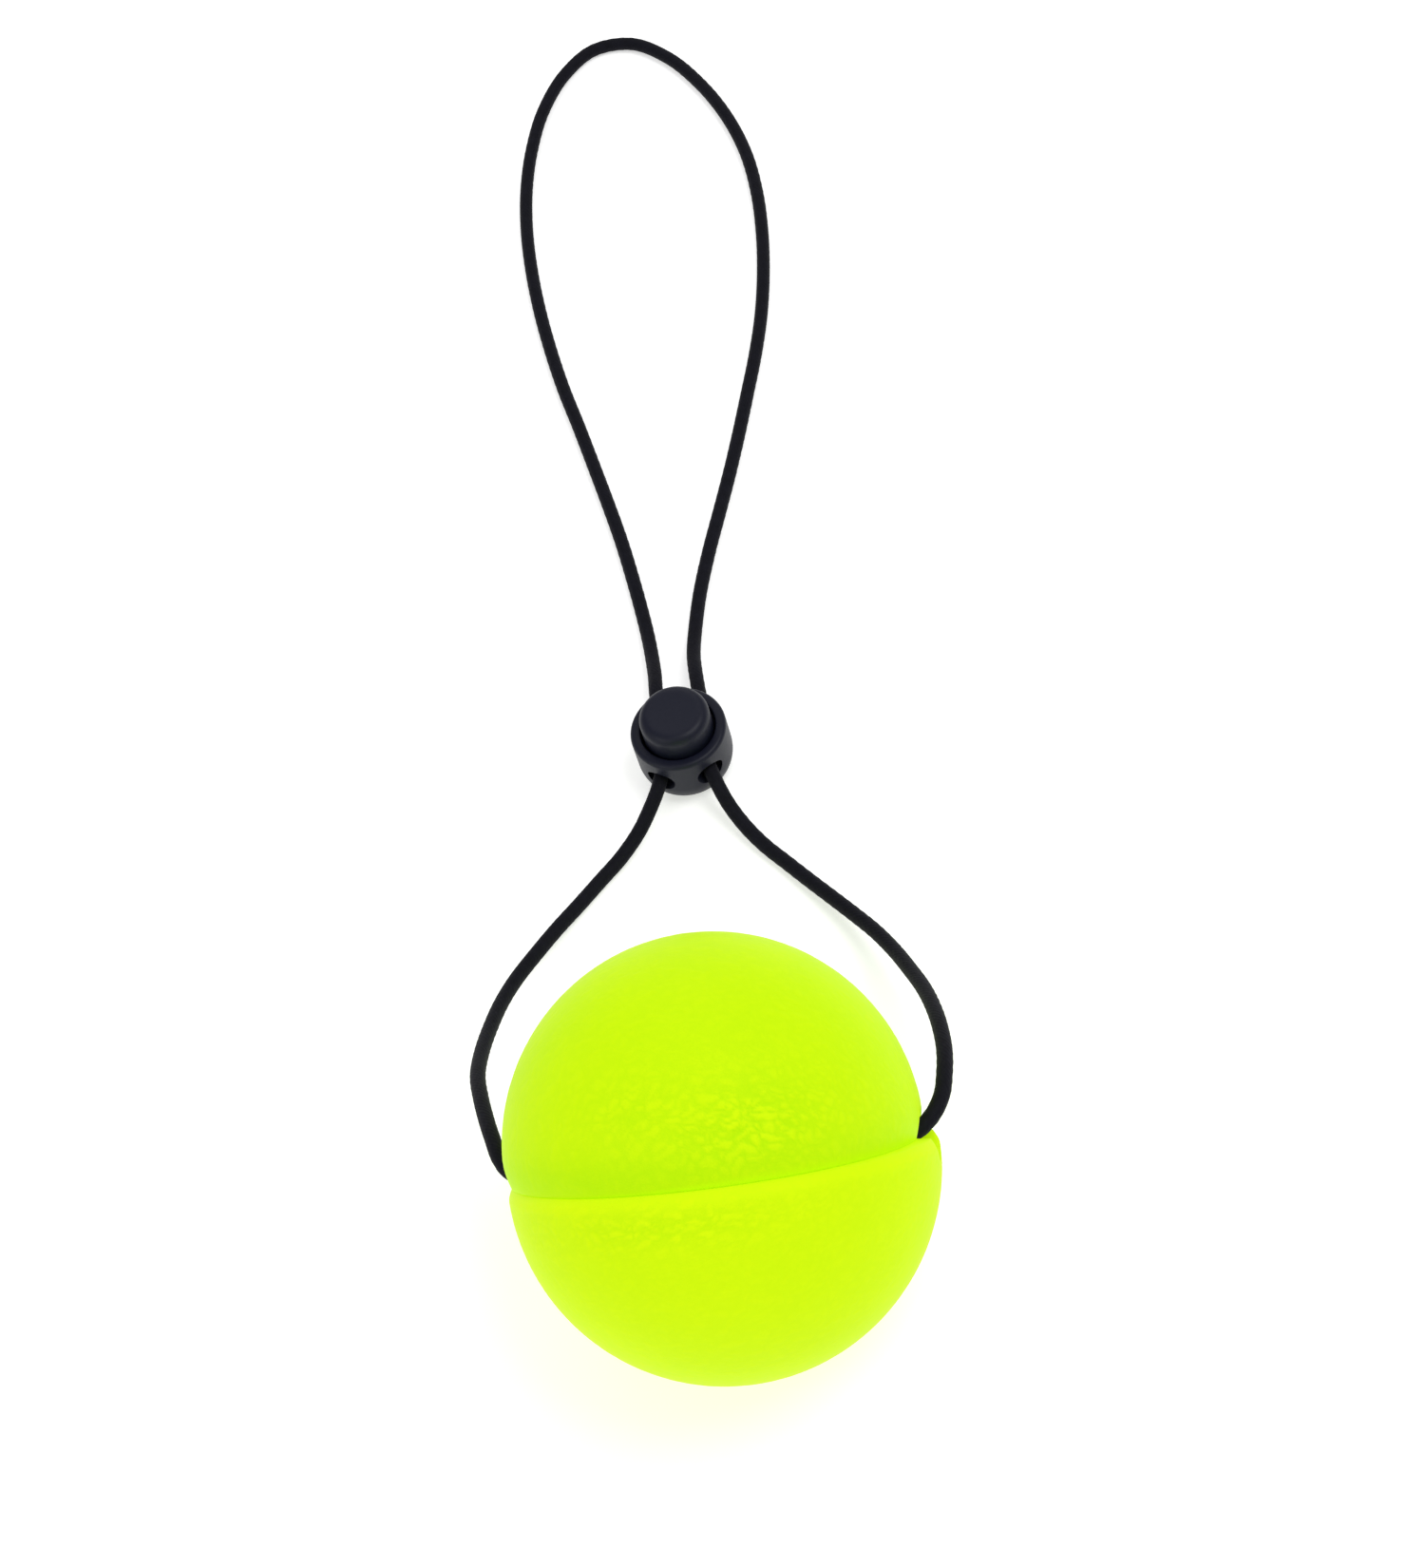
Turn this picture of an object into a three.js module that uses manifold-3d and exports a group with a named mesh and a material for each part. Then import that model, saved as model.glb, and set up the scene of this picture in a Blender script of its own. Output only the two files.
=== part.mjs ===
// A hand-exercise ball on an adjustable wrist cord, in millimetres, +Z up.
//
// A soft rubber ball, moulded in two halves that meet at a groove, holds both ends of one elastic
// cord. The halves don't quite match: the upper one is a little smaller, and they have slipped
// past each other along the groove. The cord leaves the ball on its left and right, both strands
// run through a spring cord lock, and beyond the lock they are one long loop for the wrist.
//
// Frame: the ball rests on the plane z = 0 with the origin under its middle. The bore for the
// cord runs nearly along X, and the cord lies along +Y, over the ground and through the lock.

import * as THREE from 'three';
import { mergeVertices } from 'three/addons/utils/BufferGeometryUtils.js';
import Module from 'manifold-3d';

const wasm = await Module();
wasm.setup();

// Ball
const UPPER = { r: 24.4, shift: 1.9, slip: -0.4 };   // a half's sphere: its radius, how far its
const LOWER = { r: 25.1, shift: 0.7, slip: 0.5 };    // centre sits off the joint, and along the bore
const BALL_TURN = -2.3;               // degrees that the bore is turned away from +X
const GROOVE_TILT = 32.7;             // degrees that the joint plane's normal leans up
const GROOVE_DEPTH = 0.75;
const GROOVE_HALF_WIDTH = 1.5;
const REST_FLAT_DROP = 0.2;           // height of rubber that is pressed flat under the ball
const JOINT_GAP = 0.3;                // between the two halves' faces
const KNOT_ROOM_R = 5.2;              // hollow in the middle that holds the knot
const BORE_R = 1.5;
const MOUTH_R = 3.7;                  // trumpet mouth of the bore, at the ball's surface
const MOUTH_FAR = 25.2;               // how far from the middle the mouth ends
const MOUTH_DEPTH = 4.6;
const STRAND_START = 20.8;            // how far from the middle a cord strand's own tube starts
const BALL_SIDES = 56;

// Cord
const CORD_R = 1.0;
const CORD_SIDES = 8;
const CORD_STEP = 4.0;                // length of one step of a cord's tube
const PIECE_GAP = 0.3;                // between pieces that touch
const KNOT_LOOP_R = 2.2;              // half the middle width of the overhand knot

// Cord lock
const LOCK_X = -2.0;
const LOCK_Y = 71.0;
const LOCK_R = 6.5;                   // outer radius of the housing
const LOCK_FOOT_R = 4.3;              // radius of the flat that it stands on
const LOCK_FOOT_ROUND = 3.6;          // height of the rounded lower edge
const LOCK_TOP = 9.0;                 // the housing's shoulder
const LOCK_EDGE = 0.6;                // rounding of the shoulder's edge
const LOCK_FLOOR = 0.8;
const LOCK_BORE_R = 5.1;
const HOLE_SPREAD = 3.3;              // each cord hole's distance from the lock's axis
const HOLE_Z = 5.2;
const HOLE_R = 1.75;
const LOCK_CORD_Z = 5.2;              // height of the cord inside the lock
const LOCK_CORD_SPREAD = 2.95;        // each cord's distance from the lock's axis
const LOCK_SIDES = 48;

// Button
const BUTTON_R = 4.75;
const BUTTON_TOP = 12.6;
const BUTTON_EDGE = 1.2;
const BUTTON_FOOT = 3.2;
const BUTTON_FOOT_EDGE = 0.3;
const WINDOW_LOW = 3.9;
const WINDOW_HIGH = 7.9;
const WINDOW_HALF_WIDTH = 4.2;
const WINDOW_CORNER = 0.8;

// Spring: a cone of wire, so that its turns nest when the button is pressed
const WIRE_R = 0.25;
const SPRING_BOTTOM_R = 3.9;
const SPRING_TOP_R = 2.2;
const SPRING_TURNS = 3.5;
const SPRING_STEPS_PER_TURN = 14;

const COLOURS = {
  rubber: { color: 0xd2fb0f, roughness: 0.5, metalness: 0 },
  cord: { color: 0x2f2f32, roughness: 0.8, metalness: 0 },
  plastic: { color: 0x292b37, roughness: 0.45, metalness: 0 },
  steel: { color: 0xb9bcc0, roughness: 0.3, metalness: 1 },
};

const tilt = THREE.MathUtils.degToRad(GROOVE_TILT);
const turn = THREE.MathUtils.degToRad(BALL_TURN);
const BALL_CENTRE_Z = LOWER.r - REST_FLAT_DROP + LOWER.shift * Math.sin(tilt);
const START_X = STRAND_START * Math.cos(turn);
const START_Y = STRAND_START * Math.sin(turn);
const LOCK_LEFT_X = LOCK_X - LOCK_CORD_SPREAD;
const LOCK_RIGHT_X = LOCK_X + LOCK_CORD_SPREAD;
const LOCK_PASS_Y = 77.4;             // where the strands end and the loop begins
const LOOP_START_Y = LOCK_PASS_Y + PIECE_GAP;

// The cord's route. Each strand starts in the ball's bore, turns forward, sinks to the ground,
// rises to its hole in the lock and ends just beyond the lock.
const BORE_Z = BALL_CENTRE_Z;
const LEFT_STRAND = [
  [-START_X, -START_Y, BORE_Z], [-22.8, 1.2, BORE_Z], [-24.7, 2.5, 25.2], [-25.9, 4.6, 24.8],
  [-26.8, 7.6, 23.8], [-27.8, 11.1, 22.1], [-28.9, 15.5, 19.6], [-29.8, 20.0, 16.6],
  [-30.0, 25.0, 12.9], [-29.6, 30.0, 9.4], [-28.5, 35.4, 6.2], [-26.8, 39.8, 4.0],
  [-24.2, 43.9, 2.6], [-21.4, 47.6, 1.7], [-18.4, 50.9, 1.2], [-15.3, 54.1, 1.1],
  [-12.1, 57.1, 1.4], [-9.3, 60.0, 2.4], [-7.3, 62.6, 3.7], [-6.0, 64.6, 4.7],
  [-5.3, 66.4, 5.1], [LOCK_LEFT_X, 68.4, LOCK_CORD_Z], [LOCK_LEFT_X, 71.0, LOCK_CORD_Z],
  [LOCK_LEFT_X, 74.0, LOCK_CORD_Z], [LOCK_LEFT_X, LOCK_PASS_Y, LOCK_CORD_Z],
];
const RIGHT_STRAND = [
  [START_X, START_Y, BORE_Z], [22.9, -0.4, BORE_Z], [24.9, 1.2, 25.2], [26.4, 3.8, 24.8],
  [27.1, 7.2, 23.8], [27.4, 10.9, 22.2], [27.2, 15.2, 19.8], [26.6, 19.6, 16.9],
  [25.6, 24.2, 13.5], [24.2, 28.6, 10.3], [22.4, 33.4, 7.2], [20.2, 37.8, 5.0],
  [17.8, 41.6, 3.3], [15.2, 45.2, 2.2], [12.4, 48.8, 1.5], [9.7, 52.2, 1.15],
  [7.1, 55.3, 1.2], [4.8, 58.5, 1.8], [3.0, 61.6, 3.1], [1.9, 64.3, 4.6],
  [1.3, 66.4, 5.1], [LOCK_RIGHT_X, 68.4, LOCK_CORD_Z], [LOCK_RIGHT_X, 71.0, LOCK_CORD_Z],
  [LOCK_RIGHT_X, 74.0, LOCK_CORD_Z], [LOCK_RIGHT_X, LOCK_PASS_Y, LOCK_CORD_Z],
];
// The loop leaves the lock by the left hole, lies on the ground and comes back to the right one.
const GROUND_Z = 1.05;
const LOOP = [
  [LOCK_LEFT_X, LOOP_START_Y, LOCK_CORD_Z], [-5.0, 80.2, 4.9], [-5.1, 83.4, 3.8],
  [-5.4, 87.0, 2.4], [-5.8, 91.2, 1.4], [-6.3, 95.4, GROUND_Z], [-7.3, 102.4, GROUND_Z],
  [-8.5, 109.6, GROUND_Z], [-10.0, 116.9, GROUND_Z], [-11.6, 124.2, GROUND_Z],
  [-13.3, 131.8, GROUND_Z], [-15.1, 139.4, GROUND_Z], [-16.6, 147.3, GROUND_Z],
  [-17.8, 155.4, GROUND_Z], [-18.6, 163.7, GROUND_Z], [-18.9, 172.1, GROUND_Z],
  [-18.5, 180.6, GROUND_Z], [-17.2, 189.0, GROUND_Z], [-14.8, 197.2, GROUND_Z],
  [-10.9, 204.2, GROUND_Z], [-5.9, 208.4, GROUND_Z], [0.2, 208.2, GROUND_Z],
  [5.8, 203.6, GROUND_Z], [10.6, 196.2, GROUND_Z], [14.1, 188.1, GROUND_Z],
  [16.3, 179.7, GROUND_Z], [17.2, 171.2, GROUND_Z], [17.2, 162.9, GROUND_Z],
  [16.6, 154.8, GROUND_Z], [15.5, 146.9, GROUND_Z], [13.9, 139.4, GROUND_Z],
  [12.0, 132.2, GROUND_Z], [10.1, 125.2, GROUND_Z], [8.1, 118.3, GROUND_Z],
  [6.0, 111.6, GROUND_Z], [3.9, 105.0, GROUND_Z], [2.0, 98.0, 1.1], [0.8, 91.4, 1.5],
  [0.4, 86.8, 2.6], [0.6, 82.4, 4.2], [LOCK_RIGHT_X, LOOP_START_Y, LOCK_CORD_Z],
];

// A closed geometry as a manifold solid, and back.
function solidOf(geometry) {
  const bare = new THREE.BufferGeometry();
  bare.setAttribute('position', geometry.getAttribute('position'));
  if (geometry.index) bare.setIndex(geometry.index);
  const merged = mergeVertices(bare, 1e-4);
  return new wasm.Manifold(new wasm.Mesh({
    numProp: 3,
    vertProperties: new Float32Array(merged.getAttribute('position').array),
    triVerts: new Uint32Array(merged.index.array),
  }));
}

function geometryOf(solid) {
  const mesh = solid.getMesh();
  const geometry = new THREE.BufferGeometry();
  geometry.setAttribute('position', new THREE.BufferAttribute(mesh.vertProperties, 3));
  geometry.setIndex(new THREE.BufferAttribute(mesh.triVerts, 1));
  geometry.computeVertexNormals();
  return geometry;
}

// Points of a circular arc, from one angle to another in degrees.
function arc(centreR, centreH, radius, from, to, steps) {
  const points = [];
  for (let i = 0; i <= steps; i += 1) {
    const angle = THREE.MathUtils.degToRad(from + (to - from) * i / steps);
    const r = Math.max(0, centreR + radius * Math.cos(angle));
    points.push(new THREE.Vector2(r, centreH + radius * Math.sin(angle)));
  }
  return points;
}

// A profile of (radius, height) points turned about the Z axis.
function turned(points, sides) {
  return new THREE.LatheGeometry(points, sides).rotateX(Math.PI / 2);
}

// A rod along X or Y.
function rod(radius, length, axis, sides) {
  const geometry = new THREE.CylinderGeometry(radius, radius, length, sides);
  return axis === 'x' ? geometry.rotateZ(Math.PI / 2) : geometry;
}

// A round tube along a curve.
function tube(curve, radius, sides, steps) {
  const section = new THREE.Shape();
  for (let i = 0; i < sides; i += 1) {
    const angle = 2 * Math.PI * i / sides;
    const method = i === 0 ? 'moveTo' : 'lineTo';
    section[method](radius * Math.cos(angle), radius * Math.sin(angle));
  }
  section.closePath();
  return new THREE.ExtrudeGeometry(section, { steps, extrudePath: curve, bevelEnabled: false });
}

function cordAlong(route) {
  const curve = new THREE.CatmullRomCurve3(route.map((p) => new THREE.Vector3(...p)));
  return tube(curve, CORD_R, CORD_SIDES, Math.round(curve.getLength() / CORD_STEP));
}

// One half of the ball, with its joint face down and its pole up. The profile runs from the
// knot's hollow over the joint face and the groove's soft lip to the pole.
function ballHalf({ r, shift }) {
  const low = JOINT_GAP / 2;
  const grooveR = r - GROOVE_DEPTH;
  const steps = 5;
  const lip = [];
  for (let i = 1; i <= steps; i += 1) {
    const h = low + (GROOVE_HALF_WIDTH - low) * i / steps;
    const sphereR = Math.sqrt(r ** 2 - (h - shift) ** 2);
    const rise = Math.sin(Math.PI * i / steps / 2);
    lip.push(new THREE.Vector2(grooveR + (sphereR - grooveR) * rise, h));
  }
  const lipAngle = THREE.MathUtils.radToDeg(Math.asin((GROOVE_HALF_WIDTH - shift) / r));
  const hollowLow = THREE.MathUtils.radToDeg(Math.asin(low / KNOT_ROOM_R));
  return turned([
    ...arc(0, 0, KNOT_ROOM_R, 90, hollowLow, 6),
    new THREE.Vector2(grooveR, low),
    ...lip,
    ...arc(0, shift, r, lipAngle, 90, 20).slice(1),
  ], BALL_SIDES);
}

// What the cord needs inside the ball: a bore along X with a trumpet mouth at each end.
function boreSpace() {
  const deep = MOUTH_FAR - MOUTH_DEPTH;
  const outside = MOUTH_FAR + 2;
  const mouth = [
    new THREE.Vector2(0, -deep),
    new THREE.Vector2(BORE_R, -deep),
  ];
  for (let i = 1; i <= 4; i += 1) {
    const part = i / 4;
    const flare = BORE_R + (MOUTH_R - BORE_R) * part ** 1.5;
    mouth.push(new THREE.Vector2(flare, -deep - MOUTH_DEPTH * part));
  }
  mouth.push(new THREE.Vector2(MOUTH_R, -outside));
  mouth.push(new THREE.Vector2(0, -outside));
  const flared = new THREE.LatheGeometry(mouth.reverse(), 20);
  const left = solidOf(flared.clone().rotateZ(-Math.PI / 2));
  const right = solidOf(flared.clone().rotateZ(Math.PI / 2));
  const bore = solidOf(rod(BORE_R, 2 * deep + 1, 'x', 20));
  return bore.add(left).add(right);
}

function ballHalves() {
  const bore = boreSpace();
  const ground = solidOf(new THREE.BoxGeometry(60, 60, 20).translate(0, 0, -10 - BALL_CENTRE_Z));
  // The lathe's axis is +Z here; the joint plane's normal lies between +Y and +Z.
  const upper = ballHalf(UPPER).rotateX(tilt - Math.PI / 2).translate(UPPER.slip, 0, 0);
  const lower = ballHalf(LOWER).rotateX(tilt + Math.PI / 2).translate(LOWER.slip, 0, 0);
  return {
    upper: geometryOf(solidOf(upper).subtract(bore).subtract(ground)),
    lower: geometryOf(solidOf(lower).subtract(bore).subtract(ground)),
  };
}

// The housing: a barrel with a rounded foot, open at the top, and two cord holes along Y.
function lockHousing() {
  const profile = [
    new THREE.Vector2(0, 0),
    new THREE.Vector2(LOCK_FOOT_R, 0),
  ];
  for (let i = 1; i <= 5; i += 1) {
    const angle = Math.PI / 2 * i / 5;
    const r = LOCK_FOOT_R + (LOCK_R - LOCK_FOOT_R) * Math.sin(angle);
    profile.push(new THREE.Vector2(r, LOCK_FOOT_ROUND * (1 - Math.cos(angle))));
  }
  profile.push(...arc(LOCK_R - LOCK_EDGE, LOCK_TOP - LOCK_EDGE, LOCK_EDGE, 0, 90, 3));
  profile.push(new THREE.Vector2(LOCK_BORE_R + 0.15, LOCK_TOP));
  profile.push(new THREE.Vector2(LOCK_BORE_R, LOCK_TOP - 0.15));
  profile.push(new THREE.Vector2(LOCK_BORE_R, LOCK_FLOOR));
  profile.push(new THREE.Vector2(0, LOCK_FLOOR));
  let solid = solidOf(turned(profile, LOCK_SIDES));
  for (const x of [-HOLE_SPREAD, HOLE_SPREAD]) {
    const hole = rod(HOLE_R, 3 * LOCK_R, 'y', 20).translate(x, 0, HOLE_Z);
    solid = solid.subtract(solidOf(hole));
  }
  return geometryOf(solid);
}

// The button with its plunger: one turned body with a wide window that both cords pass.
function lockButton() {
  const body = solidOf(turned([
    new THREE.Vector2(0, BUTTON_FOOT),
    new THREE.Vector2(BUTTON_R - BUTTON_FOOT_EDGE, BUTTON_FOOT),
    new THREE.Vector2(BUTTON_R, BUTTON_FOOT + BUTTON_FOOT_EDGE),
    ...arc(BUTTON_R - BUTTON_EDGE, BUTTON_TOP - BUTTON_EDGE, BUTTON_EDGE, 0, 90, 4),
    new THREE.Vector2(0, BUTTON_TOP),
  ], LOCK_SIDES));
  const left = -WINDOW_HALF_WIDTH + WINDOW_CORNER;
  const right = WINDOW_HALF_WIDTH - WINDOW_CORNER;
  const low = WINDOW_LOW + WINDOW_CORNER;
  const high = WINDOW_HIGH - WINDOW_CORNER;
  const window = new THREE.Shape();
  window.absarc(left, low, WINDOW_CORNER, Math.PI, 1.5 * Math.PI, false);
  window.absarc(right, low, WINDOW_CORNER, 1.5 * Math.PI, 2 * Math.PI, false);
  window.absarc(right, high, WINDOW_CORNER, 0, 0.5 * Math.PI, false);
  window.absarc(left, high, WINDOW_CORNER, 0.5 * Math.PI, Math.PI, false);
  window.closePath();
  const depth = 3 * BUTTON_R;
  const cut = new THREE.ExtrudeGeometry(window, { depth, bevelEnabled: false, curveSegments: 4 });
  cut.rotateX(Math.PI / 2).translate(0, depth / 2, 0);
  return geometryOf(body.subtract(solidOf(cut)));
}

class ConeHelix extends THREE.Curve {
  getPoint(t, target = new THREE.Vector3()) {
    const angle = 2 * Math.PI * SPRING_TURNS * t;
    const radius = SPRING_BOTTOM_R + (SPRING_TOP_R - SPRING_BOTTOM_R) * t;
    const low = LOCK_FLOOR + PIECE_GAP + WIRE_R;
    const high = BUTTON_FOOT - PIECE_GAP - WIRE_R;
    return target.set(radius * Math.cos(angle), radius * Math.sin(angle), low + (high - low) * t);
  }
}

function lockSpring() {
  const steps = Math.round(SPRING_TURNS * SPRING_STEPS_PER_TURN);
  return tube(new ConeHelix(), WIRE_R, 8, steps);
}

// The cord's hidden stretch, from the end of a strand to the hollow in the middle of the ball.
function cordInBall(side) {
  const far = STRAND_START - PIECE_GAP;
  const middle = side * (KNOT_ROOM_R + far) / 2;
  return rod(CORD_R, far - KNOT_ROOM_R, 'x', CORD_SIDES).translate(middle, 0, 0);
}

function material(name) {
  return new THREE.MeshStandardMaterial(COLOURS[name]);
}

function place(parent, name, geometry, finish) {
  const mesh = new THREE.Mesh(geometry, material(finish));
  mesh.name = name;
  parent.add(mesh);
}

const object = new THREE.Group();

const ball = new THREE.Group();
ball.position.set(0, 0, BALL_CENTRE_Z);
ball.rotation.z = turn;
object.add(ball);
const halves = ballHalves();
place(ball, 'ball_upper_half', halves.upper, 'rubber');
place(ball, 'ball_lower_half', halves.lower, 'rubber');

place(object, 'cord_left_strand', cordAlong(LEFT_STRAND), 'cord');
place(object, 'cord_right_strand', cordAlong(RIGHT_STRAND), 'cord');
place(object, 'cord_loop', cordAlong(LOOP), 'cord');
place(ball, 'cord_left_in_ball', cordInBall(-1), 'cord');
place(ball, 'cord_right_in_ball', cordInBall(1), 'cord');
place(ball, 'cord_knot', new THREE.TorusKnotGeometry(KNOT_LOOP_R, CORD_R, 60, 8, 2, 3), 'cord');

const lock = new THREE.Group();
lock.position.set(LOCK_X, LOCK_Y, 0);
object.add(lock);
place(lock, 'lock_housing', lockHousing(), 'plastic');
place(lock, 'lock_button', lockButton(), 'plastic');
place(lock, 'lock_spring', lockSpring(), 'steel');

export default object;
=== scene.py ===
"""Looks of a hand-exercise ball on an adjustable wrist cord, lying on a pale table."""
import math

import bmesh
import bpy
from mathutils import Matrix, Vector, noise


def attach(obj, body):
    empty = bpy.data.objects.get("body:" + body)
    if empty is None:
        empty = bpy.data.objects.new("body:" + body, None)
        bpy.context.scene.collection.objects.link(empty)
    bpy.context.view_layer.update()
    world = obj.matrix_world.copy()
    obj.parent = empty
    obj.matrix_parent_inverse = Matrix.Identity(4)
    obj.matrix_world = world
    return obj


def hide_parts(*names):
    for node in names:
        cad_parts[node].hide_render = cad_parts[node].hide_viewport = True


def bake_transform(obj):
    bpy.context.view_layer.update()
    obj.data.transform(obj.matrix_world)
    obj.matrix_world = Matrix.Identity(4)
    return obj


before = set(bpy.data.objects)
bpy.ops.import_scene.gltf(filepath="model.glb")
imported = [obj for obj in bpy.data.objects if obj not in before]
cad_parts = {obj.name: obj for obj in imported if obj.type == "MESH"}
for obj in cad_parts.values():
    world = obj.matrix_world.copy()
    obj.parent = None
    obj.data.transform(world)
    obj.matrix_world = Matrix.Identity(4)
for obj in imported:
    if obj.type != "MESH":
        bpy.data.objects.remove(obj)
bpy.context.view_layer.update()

MM = 0.001

# ---------------------------------------------------------------- sizes, in millimetres
UPPER = {"r": 24.4, "shift": 1.9, "slip": -0.4}    # a half's sphere: its radius, how far its
LOWER = {"r": 25.1, "shift": 0.7, "slip": 0.5}     # centre sits off the joint, and along the bore
BALL_TURN = math.radians(-2.3)
GROOVE_TILT = math.radians(32.7)
GROOVE_DEPTH = 0.6
GROOVE_HALF_WIDTH = 1.7
REST_FLAT_DROP = 0.2
BORE_R = 1.35
MOUTH_R = 3.5
MOUTH_END = 20.6              # distance from the ball's middle to the narrow end of a mouth
STRAND_START = 20.8
BALL_Z = LOWER["r"] - REST_FLAT_DROP + LOWER["shift"] * math.sin(GROOVE_TILT)
GROOVE_NORMAL = Vector((0, math.cos(GROOVE_TILT), math.sin(GROOVE_TILT)))     # in the ball's frame
IN_JOINT = Vector((0, -math.sin(GROOVE_TILT), math.cos(GROOVE_TILT)))
BALL_FRAME = Matrix.Translation((0, 0, BALL_Z)) @ Matrix.Rotation(BALL_TURN, 4, "Z")
START_X = STRAND_START * math.cos(BALL_TURN)
START_Y = STRAND_START * math.sin(BALL_TURN)

CORD_D = 2.0
GROUND_Z = 1.05
LOCK_X = -2.0
LOCK_Y = 71.0
HOLE_SPREAD = 3.3
HOLE_Z = 5.2
HOLE_R = 1.75
LOCK_CORD_Z = 5.2
LOCK_CORD_SPREAD = 2.95
LOCK_LEFT_X = LOCK_X - LOCK_CORD_SPREAD
LOCK_RIGHT_X = LOCK_X + LOCK_CORD_SPREAD
LOCK_PASS_Y = 77.4
LOOP_START_Y = LOCK_PASS_Y + 0.3

# ---------------------------------------------------------------- the cord's route, as in the CAD
LEFT_STRAND = [
    (-START_X, -START_Y, BALL_Z), (-22.8, 1.2, BALL_Z), (-24.7, 2.5, 25.2), (-25.9, 4.6, 24.8),
    (-26.8, 7.6, 23.8), (-27.8, 11.1, 22.1), (-28.9, 15.5, 19.6), (-29.8, 20.0, 16.6),
    (-30.0, 25.0, 12.9), (-29.6, 30.0, 9.4), (-28.5, 35.4, 6.2), (-26.8, 39.8, 4.0),
    (-24.2, 43.9, 2.6), (-21.4, 47.6, 1.7), (-18.4, 50.9, 1.2), (-15.3, 54.1, 1.1),
    (-12.1, 57.1, 1.4), (-9.3, 60.0, 2.4), (-7.3, 62.6, 3.7), (-6.0, 64.6, 4.7),
    (-5.3, 66.4, 5.1), (LOCK_LEFT_X, 68.4, LOCK_CORD_Z), (LOCK_LEFT_X, 71.0, LOCK_CORD_Z),
    (LOCK_LEFT_X, 74.0, LOCK_CORD_Z), (LOCK_LEFT_X, LOCK_PASS_Y, LOCK_CORD_Z),
]
RIGHT_STRAND = [
    (START_X, START_Y, BALL_Z), (22.9, -0.4, BALL_Z), (24.9, 1.2, 25.2), (26.4, 3.8, 24.8),
    (27.1, 7.2, 23.8), (27.4, 10.9, 22.2), (27.2, 15.2, 19.8), (26.6, 19.6, 16.9),
    (25.6, 24.2, 13.5), (24.2, 28.6, 10.3), (22.4, 33.4, 7.2), (20.2, 37.8, 5.0),
    (17.8, 41.6, 3.3), (15.2, 45.2, 2.2), (12.4, 48.8, 1.5), (9.7, 52.2, 1.15),
    (7.1, 55.3, 1.2), (4.8, 58.5, 1.8), (3.0, 61.6, 3.1), (1.9, 64.3, 4.6),
    (1.3, 66.4, 5.1), (LOCK_RIGHT_X, 68.4, LOCK_CORD_Z), (LOCK_RIGHT_X, 71.0, LOCK_CORD_Z),
    (LOCK_RIGHT_X, 74.0, LOCK_CORD_Z), (LOCK_RIGHT_X, LOCK_PASS_Y, LOCK_CORD_Z),
]
LOOP = [
    (LOCK_LEFT_X, LOOP_START_Y, LOCK_CORD_Z), (-5.0, 80.2, 4.9), (-5.1, 83.4, 3.8),
    (-5.4, 87.0, 2.4), (-5.8, 91.2, 1.4), (-6.3, 95.4, GROUND_Z), (-7.3, 102.4, GROUND_Z),
    (-8.5, 109.6, GROUND_Z), (-10.0, 116.9, GROUND_Z), (-11.6, 124.2, GROUND_Z),
    (-13.3, 131.8, GROUND_Z), (-15.1, 139.4, GROUND_Z), (-16.6, 147.3, GROUND_Z),
    (-17.8, 155.4, GROUND_Z), (-18.6, 163.7, GROUND_Z), (-18.9, 172.1, GROUND_Z),
    (-18.5, 180.6, GROUND_Z), (-17.2, 189.0, GROUND_Z), (-14.8, 197.2, GROUND_Z),
    (-10.9, 204.2, GROUND_Z), (-5.9, 208.4, GROUND_Z), (0.2, 208.2, GROUND_Z),
    (5.8, 203.6, GROUND_Z), (10.6, 196.2, GROUND_Z), (14.1, 188.1, GROUND_Z),
    (16.3, 179.7, GROUND_Z), (17.2, 171.2, GROUND_Z), (17.2, 162.9, GROUND_Z),
    (16.6, 154.8, GROUND_Z), (15.5, 146.9, GROUND_Z), (13.9, 139.4, GROUND_Z),
    (12.0, 132.2, GROUND_Z), (10.1, 125.2, GROUND_Z), (8.1, 118.3, GROUND_Z),
    (6.0, 111.6, GROUND_Z), (3.9, 105.0, GROUND_Z), (2.0, 98.0, 1.1), (0.8, 91.4, 1.5),
    (0.4, 86.8, 2.6), (0.6, 82.4, 4.2), (LOCK_RIGHT_X, LOOP_START_Y, LOCK_CORD_Z),
]


# ---------------------------------------------------------------- helpers
def smooth_line(points, per_span=24):
    """A centripetal Catmull-Rom line through points, as the CAD's, sampled finely."""
    pts = [Vector(p) for p in points]
    first = pts[0] * 2 - pts[1]
    last = pts[-1] * 2 - pts[-2]
    pts = [first] + pts + [last]
    line = []
    for a, b, c, d in zip(pts, pts[1:], pts[2:], pts[3:]):
        t0 = 0.0
        t1 = t0 + math.sqrt((b - a).length)
        t2 = t1 + math.sqrt((c - b).length)
        t3 = t2 + math.sqrt((d - c).length)
        for k in range(per_span):
            t = t1 + (t2 - t1) * k / per_span
            ab = a.lerp(b, (t - t0) / (t1 - t0))
            bc = b.lerp(c, (t - t1) / (t2 - t1))
            cd = c.lerp(d, (t - t2) / (t3 - t2))
            abc = ab.lerp(bc, (t - t0) / (t2 - t0))
            bcd = bc.lerp(cd, (t - t1) / (t3 - t1))
            line.append(abc.lerp(bcd, (t - t1) / (t2 - t1)))
    line.append(pts[-2])
    return line


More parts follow.
